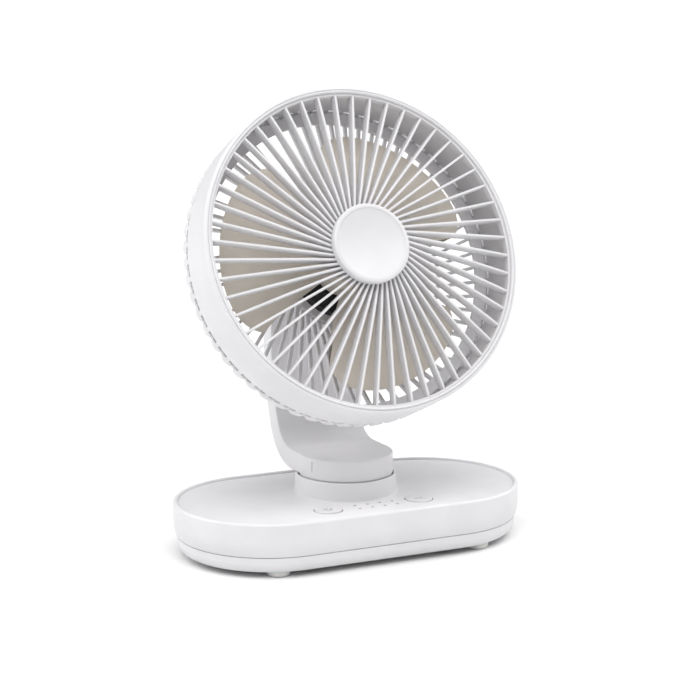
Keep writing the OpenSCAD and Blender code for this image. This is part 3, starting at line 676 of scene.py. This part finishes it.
class FAN_OT_shells(bpy.types.Operator):
    """Adds the upper moulded shell of the base, with the opening for the charging socket."""

    bl_idname = "fan.shells"
    bl_label = "Base shells"

    def execute(self, context):
        base = context.scene.fan_base
        edge = end_radius() / MM
        top, parting = base.rim_height / MM, base.parting_height / MM
        rim = 2.6
        outline = (
            arc((edge - 1.5, top - 1.5), 1.5, 90, 0, 8)
            + arc((edge - 18, parting + 8), 18, 0, -24, 12)
            + arc((edge - 2.05, parting + 0.75), 0.5, 0, -90, 4)
            + [(edge - 3.4, parting + 0.2), (edge - 3.4, top - 6), (edge - rim, top - 5)]
            + arc((edge - rim + 1, top - 1), 1, 180, 90, 6)
        )
        bm = bmesh.new()
        racetrack(bm, in_mm(outline), end_offset())
        shell = to_object(bm, "base_upper_shell")
        bm = bmesh.new()
        socket = mid("usb_c_socket")
        prism(bm, in_mm(stadium(1.95, 2.85, 16)), -5 * MM, 5 * MM,
              Matrix.Translation((0, base.depth / 2, socket.z)) @ Matrix.Rotation(pi / 2, 4, "X"))
        combine(shell, to_object(bm, "socket_opening"), "DIFFERENCE")
        finish_piece(shell, "base", "white_shell", ["top_shell"])
        return {"FINISHED"}


class FAN_OT_panel(bpy.types.Operator):
    """Adds the sunk top panel with its collar and the holes for keys and lights."""

    bl_idname = "fan.panel"
    bl_label = "Top panel"

    def execute(self, context):
        base = context.scene.fan_base
        edge = end_radius() / MM
        top = (base.rim_height - base.panel_drop) / MM
        under = top - 1.8
        outer = edge - 2.6 + 0.05
        bm = bmesh.new()
        prism(bm, in_mm(stadium(outer, end_offset() / MM)), under * MM, top * MM)
        panel = to_object(bm, "top_panel_skin")

        key_hole, turntable_hole, light_hole = 7.45, 23, 0.8
        bm = bmesh.new()
        for key in (mid("power_button"), mid("swing_button")):
            revolve(bm, in_mm([
                (AXIS, under - 1), (key_hole, under - 1), (key_hole, top - 0.1),
                (key_hole + 0.05, top + 1), (AXIS, top + 1),
            ]), 96, (key.x, key.y))
        revolve(bm, in_mm(disc(turntable_hole, under - 1, top + 1)), 96, (0, SWING_AXIS_Y))
        combine(panel, to_object(bm, "key_holes"), "DIFFERENCE")
        bm = bmesh.new()
        for x, y in light_places():
            revolve(bm, in_mm(disc(light_hole, under - 1, top + 1)), 32, (x, y))
        combine(panel, to_object(bm, "light_holes"), "DIFFERENCE")
        finish_piece(panel, "base", "panel_plastic", ["top_panel"])

        crest = base.collar_top / MM
        bm = bmesh.new()
        revolve(bm, in_mm(
            [(22.5, top - 0.6), (27.4, top - 0.6)]
            + arc((27.4, top + 0.6), 0.6, -90, -176, 6)
            + arc((25.5, crest - 0.6), 0.6, 0, 90, 6)
            + arc((25.3, crest - 0.3), 0.3, 90, 180, 4)
            + [(25.0, crest - 2.6), (22.5, crest - 2.6)]
        ), 192, (0, SWING_AXIS_Y))
        collar = to_object(bm, "collar_skin")
        finish_piece(collar, "base", "panel_plastic")
        return {"FINISHED"}


def light_places():
    """Middles of the eight indicator lights: two rows of four."""
    low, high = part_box("led_chips")
    first, last = low.x + 0.8 * MM, high.x - 0.8 * MM
    rows = (high.y - 0.6 * MM, low.y + 0.6 * MM)
    return [(first + (last - first) * i / 3, y) for i in range(4) for y in rows]


class FAN_OT_keys(bpy.types.Operator):
    """Adds the two push keys with their marks."""

    bl_idname = "fan.keys"
    bl_label = "Keys"

    def execute(self, context):
        for body, node in (("power_key", "power_button"), ("swing_key", "swing_button")):
            place = mid(node)
            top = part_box(node)[1].z / MM
            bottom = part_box(node)[0].z / MM
            bm = bmesh.new()
            revolve(bm, in_mm(
                [(AXIS, bottom), (8.2, bottom), (8.2, bottom + 0.8), (7, bottom + 0.8)]
                + arc((6.5, top - 0.5), 0.5, 0, 78, 6)
                + [(5.6, top - 0.06), (3, top - 0.18), (AXIS, top - 0.22)]
            ), 128, (place.x, place.y))
            key = to_object(bm, node + "_skin")
            finish_piece(key, body, "button_plastic", [node])
        self.power_mark()
        self.swing_mark()
        return {"FINISHED"}

    def power_mark(self):
        """An open ring with a short stroke in its gap."""
        place = mid("power_button")
        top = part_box("power_button")[1].z
        bm = bmesh.new()
        outer = arc((0, 0), 2.1, 125, 415, 40)
        inner = arc((0, 0), 1.6, 415, 125, 40)
        stand = Matrix.Translation((place.x, place.y, top - 0.24 * MM))
        prism(bm, in_mm(outer + inner), 0, 0.05 * MM, stand)
        prism(bm, in_mm([(-0.25, 0.6), (0.25, 0.6), (0.25, 2.5), (-0.25, 2.5)]), 0, 0.05 * MM, stand)
        finish_piece(to_object(bm, "power_mark"), "power_key", "black_plastic", (), printed_grey())

    def swing_mark(self):
        """A short bar between two small arrow heads."""
        place = mid("swing_button")
        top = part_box("swing_button")[1].z
        bm = bmesh.new()
        stand = Matrix.Translation((place.x, place.y, top - 0.24 * MM))
        prism(bm, in_mm([(-1.1, -0.2), (1.1, -0.2), (1.1, 0.2), (-1.1, 0.2)]), 0, 0.05 * MM, stand)
        for side in (-1, 1):
            head = [(side * 2.3, 0), (side * 1.2, 0.8), (side * 1.2, -0.8)]
            prism(bm, in_mm(head), 0, 0.05 * MM, stand)
        finish_piece(to_object(bm, "swing_mark"), "swing_key", "black_plastic", (), printed_grey())


def printed_grey():
    """Pad-printed ink of the key marks: flat mid grey, slightly uneven at its edge."""
    if "printed_grey" not in MADE:
        colour = bpy.context.scene.fan_finish.marks
        MADE["printed_grey"] = surface(
            "pad_printed_ink", colour, faded(colour, 0.9), 0.5, 0.05, 0.2, 0.002, cloud_mm=2, IOR=1.5)
    return MADE["printed_grey"]


# ---------- arm ----------


def arm_stations():
    """Middle line of the arm as (y, z, direction in degrees), from the drum to the tilt pin."""
    arm = bpy.context.scene.fan_arm
    spine_z = bpy.context.scene.fan_base.collar_top + 0.4 * MM + arm.thickness / 2
    bend, back = arm.foot_bend_radius, arm.back_bend_radius
    foot_centre = (20.3 * MM, spine_z + bend)
    turn = 68
    end = 104
    stations = [(SWING_AXIS_Y, spine_z, 0.0), (SWING_AXIS_Y + 8 * MM, spine_z, 0.0)]
    for i in range(25):
        a = turn * i / 24
        y, z = foot_centre[0] + bend * sin(radians(a)), foot_centre[1] - bend * cos(radians(a))
        stations.append((y, z, a))
    knee = stations[-1]
    back_centre = (knee[0] - back * sin(radians(turn)), knee[1] + back * cos(radians(turn)))
    for i in range(1, 25):
        a = turn + (end - turn) * i / 24
        y, z = back_centre[0] + back * sin(radians(a)), back_centre[1] - back * cos(radians(a))
        stations.append((y, z, a))
    return stations


def rounded_box(half_width, low, high, corner, steps=5):
    """Outline of a rounded rectangle: across the arm, and through its thickness."""
    points = []
    for cx, cy, start in (
        (half_width - corner, high - corner, 0), (corner - half_width, high - corner, 90),
        (corner - half_width, low + corner, 180), (half_width - corner, low + corner, 270),
    ):
        points += arc((cx, cy), corner, start, start + 90, steps)
    return points


def arm_strip(bm, half_width, low, high, corner):
    """Strip along the whole arm; high is the hollow side that faces the head."""
    rows = []
    for y, z, direction in arm_stations():
        a = radians(direction)
        rows.append([
            (x, y - t * sin(a), z + t * cos(a)) for x, t in rounded_box(half_width, low, high, corner)
        ])
    skin(bm, rows, False)


class FAN_OT_arm(bpy.types.Operator):
    """Adds the curved arm with its drum, front cover and hinge ears."""

    bl_idname = "fan.arm"
    bl_label = "Arm"

    ear_inner, ear_outer, ear_radius = 10.6, 23.8, 11.5

    def execute(self, context):
        arm = context.scene.fan_arm
        half = arm.thickness / 2
        bm = bmesh.new()
        arm_strip(bm, arm.half_width, -half, half, 0.9 * MM)
        strap = to_object(bm, "arm_skin")
        radius = arm.drum_radius / MM
        low = (context.scene.fan_base.collar_top + 0.4 * MM) / MM
        high = low + arm.thickness / MM
        self.add_drum(strap, radius, low, high)
        across = Matrix.Translation(TILT_PIN) @ Matrix.Rotation(pi / 2, 4, "Y")
        self.add_ears(strap, across)
        self.cut_hinge(strap, across)
        self.cut_seams(strap, radius, high)
        finish_piece(strap, "arm", "white_shell", ["arm_shell", "arm_cover"])
        return {"FINISHED"}

    def add_drum(self, strap, radius, low, high):
        """The round foot, with a narrower neck that goes down into the collar."""
        bm = bmesh.new()
        revolve(bm, in_mm(
            [(AXIS, low - 1.6), (radius - 0.4, low - 1.6), (radius - 0.4, low)]
            + arc((radius - 0.3, low + 0.3), 0.3, -90, 0, 3)
            + arc((radius - 0.8, high - 0.77), 0.8, 0, 90, 6)
            + [(AXIS, high + 0.03)]
        ), 160, (0, SWING_AXIS_Y))
        combine(strap, to_object(bm, "drum"), "UNION")

    def add_ears(self, strap, across):
        """One round bar across the tilt pin, which the hinge is then cut out of."""
        outer, edge = self.ear_outer, self.ear_radius - 1
        bm = bmesh.new()
        revolve(bm, in_mm(
            [(AXIS, -outer)] + arc((edge, 1 - outer), 1, -90, 0, 5)
            + arc((edge, outer - 1), 1, 0, 90, 5) + [(AXIS, outer)]
        ), 96)
        bm.transform(across)
        combine(strap, to_object(bm, "ears"), "UNION")

    def cut_hinge(self, strap, across):
        """Room for the knuckle of the head, the notch above it and the seats of the two caps."""
        inner = self.ear_inner
        bm = bmesh.new()
        revolve(bm, in_mm(disc(10.5, -inner, inner)), 96)
        bm.transform(across)
        combine(strap, to_object(bm, "knuckle_room"), "DIFFERENCE")
        bm = bmesh.new()
        notch = [(-inner, -9), (inner, -9), (inner, 21), (-inner, 21)]
        prism(bm, in_mm(notch), -30 * MM, 20 * MM,
              Matrix.Translation(TILT_PIN) @ Matrix.Rotation(pi / 2, 4, "X"))
        combine(strap, to_object(bm, "notch"), "DIFFERENCE")
        bm = bmesh.new()
        for side in (-1, 1):
            revolve(bm, in_mm(disc(7, side * 20.8, side * 25)), 64)
        bm.transform(across)
        combine(strap, to_object(bm, "cap_seats"), "DIFFERENCE")

    def cut_seams(self, strap, radius, high):
        """A short upright joint line on each side of the drum."""
        bm = bmesh.new()
        for angle in (200, 340):
            place = Matrix.Translation((0, SWING_AXIS_Y, 0)) @ Matrix.Rotation(radians(angle), 4, "Z")
            seam = [(radius - 1.2, -0.3), (radius + 1, -0.3), (radius + 1, 0.3), (radius - 1.2, 0.3)]
            prism(bm, in_mm(seam), (high - 6.8) * MM, (high - 1.8) * MM, place)
        combine(strap, to_object(bm, "seams"), "DIFFERENCE")


# ---------- head ----------


class FAN_OT_ring(bpy.types.Operator):
    """Adds the deep front ring and the centre cap."""

    bl_idname = "fan.ring"
    bl_label = "Front ring and cap"

    def execute(self, context):
        head = context.scene.fan_head
        r, depth = head.ring_radius / MM, head.ring_depth / MM
        outline = (
            [(82.8, -1.7), (82.0, -1.7)]
            + arc((82.7, -0.7), 0.7, 180, 90, 5)
            + [(83.1, -0.05), (83.3, -0.7), (83.6, -0.7), (83.75, -0.3)]
            + arc((r - 1.3, -1.75), 1.3, 80, 12, 6)
            + [(r - 0.15, -7), (r, -13), (r - 0.1, -20)]
            + arc((r - 1.4, 1 - depth), 1, 0, -90, 4)
            + [(82.8, -depth)]
        )
        bm = bmesh.new()
        revolve(bm, in_mm(outline), 320)
        bm.transform(head_place())
        ring = to_object(bm, "front_ring_skin")
        finish_piece(ring, "head", "white_shell", ["front_ring"])

        c = head.cap_radius / MM
        outline = (
            [(AXIS, 3.5), (c - 0.2, 3.5)] + arc((c - 1.2, 6.6), 1.2, 0, 90, 8)
            + arc((c - 2.0, 7.4), 0.4, 90, 180, 4) + [(c - 2.7, 7.15), (AXIS, 7.3)]
        )
        bm = bmesh.new()
        revolve(bm, in_mm(outline), 192)
        bm.transform(head_place())
        cap = to_object(bm, "centre_cap_skin", 50)
        finish_piece(cap, "head", "white_shell", ["centre_cap"])
        return {"FINISHED"}


def repeat(bm, unit, count, start=0):
    """Copies one small mesh round the Z axis into a bmesh."""
    for i in range(count):
        copy = unit.copy()
        copy.transform(about_z(i, count, start))
        bm.from_mesh(copy)
        bpy.data.meshes.remove(copy)
    bpy.data.meshes.remove(unit)


def unit_mesh(bm):
    """A plain mesh of one repeated part."""
    mesh = bpy.data.meshes.new("unit")
    bm.to_mesh(mesh)
    bm.free()
    return mesh


class FAN_OT_grille(bpy.types.Operator):
    """Adds the front grille: slanting fins between the cap and the ring."""

    bl_idname = "fan.grille"
    bl_label = "Front grille"

    def execute(self, context):
        head = context.scene.fan_head
        offset, thickness = 7.75, 1.2
        hub, rim = 19.4, 81.9
        start = sqrt((hub - 1.5) ** 2 - offset ** 2)
        end = sqrt((rim - 0.6) ** 2 - offset ** 2)
        outline = [
            (start, 3.3), (start + 14, 3.0), (start + 34, 1.3), (end - 4, -1.1), (end, -1.6),
            (end, -6.2), (end - 8, -6.2), (start + 8, -3), (start, -3),
        ]
        bm = bmesh.new()
        stand = Matrix.Translation((0, offset * MM, 0)) @ Matrix.Rotation(pi / 2, 4, "X")
        prism(bm, in_mm(outline), -thickness / 2 * MM, thickness / 2 * MM, stand)
        round_edges(bm, 0.32 * MM, 60, 3)
        fin = unit_mesh(bm)
        bm = bmesh.new()
        repeat(bm, fin, head.fins, 2)
        revolve(bm, in_mm([(rim - 1.2, -1.7), (rim, -1.7), (rim, -5.4), (rim - 1.2, -5.4)]), 320)
        revolve(bm, in_mm([
            (AXIS, -2), (hub - 2, -2), (hub - 2, -3.4), (hub, -3.4), (hub, 3.5), (AXIS, 3.5)]), 192)
        bm.transform(head_place())
        grille = to_object(bm, "front_grille_skin")
        finish_piece(grille, "head", "white_shell", ["front_grille"])
        return {"FINISHED"}


class FAN_OT_cage(bpy.types.Operator):
    """Adds the rear cage: slanting ribs, a flange and a scallop at the end of each rib."""

    bl_idname = "fan.cage"
    bl_label = "Rear cage"

    def execute(self, context):
        head = context.scene.fan_head
        r, depth = head.ring_radius / MM, head.ring_depth / MM
        offset, width = 15, 1.5
        start = sqrt(29 ** 2 - offset ** 2)
        end = sqrt((r - 0.6) ** 2 - offset ** 2)
        outline = [
            (start, -38.4), (60.6, -31.0), (end - 8, -27.5), (end - 3, -27.5), (end - 3, -32.2),
            (end - 7, -30.6), (58.6, -34.4), (start, -41.8),
        ]
        bm = bmesh.new()
        stand = Matrix.Translation((0, -offset * MM, 0)) @ Matrix.Rotation(pi / 2, 4, "X")
        prism(bm, in_mm(outline), -width / 2 * MM, width / 2 * MM, stand)
        round_edges(bm, 0.4 * MM, 50, 3)
        rib = unit_mesh(bm)

        half = 3.8
        tongue = [(-half, -depth - 1.9)] + arc((0, -30.7), half, 180, 360, 14) + [(half, -depth - 1.9)]
        bm = bmesh.new()
        # Drawn out from the inside of the ring to its outer face, across the rib's end
        stand = Matrix.Rotation(-asin(offset / r), 4, "Z") @ ALONG_X
        prism(bm, in_mm(tongue), 83.3 * MM, (r - 0.4) * MM, stand)
        round_edges(bm, 0.5 * MM, 50, 3)
        scallop = unit_mesh(bm)
        bm = bmesh.new()
        bridge = [(-1.2, -depth - 2.2), (1.2, -depth - 2.2), (1.2, -depth + 0.2), (-1.2, -depth + 0.2)]
        prism(bm, in_mm(bridge), 83 * MM, (r - 0.7) * MM, stand)
        bridge = unit_mesh(bm)

        bm = bmesh.new()
        repeat(bm, rib, head.ribs)
        repeat(bm, scallop, head.ribs)
        repeat(bm, bridge, head.ribs)
        revolve(bm, in_mm([
            (74.6, -26.8), (80.4, -26.8), (80.4, -31.2), (82.9, -31.2), (82.9, -30.1),
            (84.0, -30.1), (84.0, -32.8), (79.0, -32.8), (79.0, -28.6), (74.6, -28.6)]), 320)
        revolve(bm, in_mm([
            (27.4, -35), (31, -35), (31, -43), (22.5, -43), (22.5, -41), (27.4, -41)]), 160)
        bm.transform(head_place())
        cage = to_object(bm, "rear_cage_skin")
        finish_piece(cage, "head", "white_shell", ["rear_cage"])
        return {"FINISHED"}


class FAN_OT_motor(bpy.types.Operator):
    """Adds the motor housing behind the cage, with the neck that the tilt pin runs through."""

    bl_idname = "fan.motor"
    bl_label = "Motor housing"

    def execute(self, context):
        head = context.scene.fan_head
        reach = head.reach / MM
        bm = bmesh.new()
        revolve(bm, in_mm(
            [(AXIS, -43.2), (27.2, -43.2)] + arc((22.2, -48), 5, 0, -90, 10) + [(AXIS, -53)]
        ), 192)
        housing = to_object(bm, "motor_housing_skin")
        bm = bmesh.new()
        side = [(-11, -49), (11, -49), (8.4, -reach + 4), (-8.4, -reach + 4)]
        prism(bm, in_mm(side), -9.7 * MM, 9.7 * MM, ALONG_X)
        round_edges(bm, 1.2 * MM, 50, 4)
        combine(housing, to_object(bm, "neck"), "UNION")
        bm = bmesh.new()
        revolve(bm, in_mm(
            [(AXIS, -9.7)] + arc((8.8, -9.1), 0.6, -90, 0, 4)
            + arc((8.8, 9.1), 0.6, 0, 90, 4) + [(AXIS, 9.7)]
        ), 96)
        bm.transform(Matrix.Translation((0, 0, -head.reach)) @ Matrix.Rotation(pi / 2, 4, "Y"))
        combine(housing, to_object(bm, "knuckle"), "UNION")
        housing.data.transform(head_place())
        finish_piece(housing, "head", "white_shell", ["motor_housing"])
        return {"FINISHED"}


class FAN_OT_impeller(bpy.types.Operator):
    """Adds the impeller with its broad leaf-shaped blades."""

    bl_idname = "fan.impeller"
    bl_label = "Impeller"

    hub, front, back = 18.0, 16.0, 28.4
    first_angle = 3

    def blade_point(self, t, s, face, settings):
        """Point on a blade: t runs round the axis, s runs out from the hub, face is -1 or 1."""
        tip = settings.radius / MM
        reach = tip - (tip - self.hub) * 0.16 * abs(2 * t - 1) ** 6
        r = self.hub - 1 + (reach - self.hub + 1) * s
        angle = radians(self.first_angle + (1 - t) * 4 * s - 8 * s * (1 - s)) + t * settings.sweep
        twist = 0.55 + 0.45 * s
        middle = -(self.front + self.back) / 2 + (0.5 - t) * (self.back - self.front - 2) * twist
        bow = -2.2 * sin(pi * t) * s
        rim = max(abs(2 * t - 1), s)
        thickness = 1.5 * (1 - 0.75 * rim ** 24)
        return (r * cos(angle) * MM, r * sin(angle) * MM, (middle + bow + face * thickness / 2) * MM)

    def execute(self, context):
        settings = context.scene.fan_impeller
        around, out = 48, 30
        bm = bmesh.new()
        rows = []
        for j in range(around + 1):
            t = j / around
            up = [self.blade_point(t, i / out, 1, settings) for i in range(out + 1)]
            down = [self.blade_point(t, i / out, -1, settings) for i in range(out, -1, -1)]
            rows.append(up + down)
        skin(bm, rows, False)
        tidy(bm)
        blade = unit_mesh(bm)
        bm = bmesh.new()
        repeat(bm, blade, settings.blades)
        revolve(bm, in_mm(
            [(3, -9.6)] + arc((15, -12.6), 3, 90, 0, 8)
            + [(18, -29), (14.1, -29), (14.1, -13), (3, -13)]
        ), 160)
        bm.transform(head_place())
        impeller = to_object(bm, "impeller_skin", 50)
        finish_piece(impeller, "rotor", "impeller_plastic", ["impeller"])
        return {"FINISHED"}


class FAN_OT_inner_parts(bpy.types.Operator):
    """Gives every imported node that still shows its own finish."""

    bl_idname = "fan.inner_parts"
    bl_label = "Inner parts"

    def execute(self, context):
        slots = {part["node"]: part["material_slot"] for part in frame["record"]["subparts"]}
        for name, node in frame["nodes"].items():
            material = finish(slots[name])
            if not node.material_slots:
                node.data.materials.append(material)
            for place in node.material_slots:
                place.material = material
        return {"FINISHED"}


# ---------- add-on ----------


class FAN_PT_panel(bpy.types.Panel):
    """Lists the steps that build the fan."""

    bl_idname = "FAN_PT_panel"
    bl_label = "Desk fan"
    bl_space_type = "VIEW_3D"
    bl_region_type = "UI"
    bl_category = "Desk fan"

    def draw(self, context):
        for step in STEPS:
            self.layout.operator(step.bl_idname)


SETTINGS = {
    "fan_base": BaseSettings,
    "fan_arm": ArmSettings,
    "fan_head": HeadSettings,
    "fan_impeller": ImpellerSettings,
    "fan_finish": FinishSettings,
    "fan_studio": StudioSettings,
}
STEPS = (
    FAN_OT_camera, FAN_OT_studio, FAN_OT_inner_parts, FAN_OT_shells, FAN_OT_panel, FAN_OT_keys,
    FAN_OT_arm, FAN_OT_ring, FAN_OT_grille, FAN_OT_cage, FAN_OT_motor, FAN_OT_impeller,
)


def register():
    for name, group in SETTINGS.items():
        bpy.utils.register_class(group)
        setattr(bpy.types.Scene, name, PointerProperty(type=group))
    for step in STEPS:
        bpy.utils.register_class(step)
    bpy.utils.register_class(FAN_PT_panel)


def unregister():
    bpy.utils.unregister_class(FAN_PT_panel)
    for step in reversed(STEPS):
        bpy.utils.unregister_class(step)
    for name, group in SETTINGS.items():
        delattr(bpy.types.Scene, name)
        bpy.utils.unregister_class(group)


def main():
    register()
    for step in STEPS:
        group, name = step.bl_idname.split(".")
        getattr(getattr(bpy.ops, group), name)()


if __name__ == "__main__":
    main()
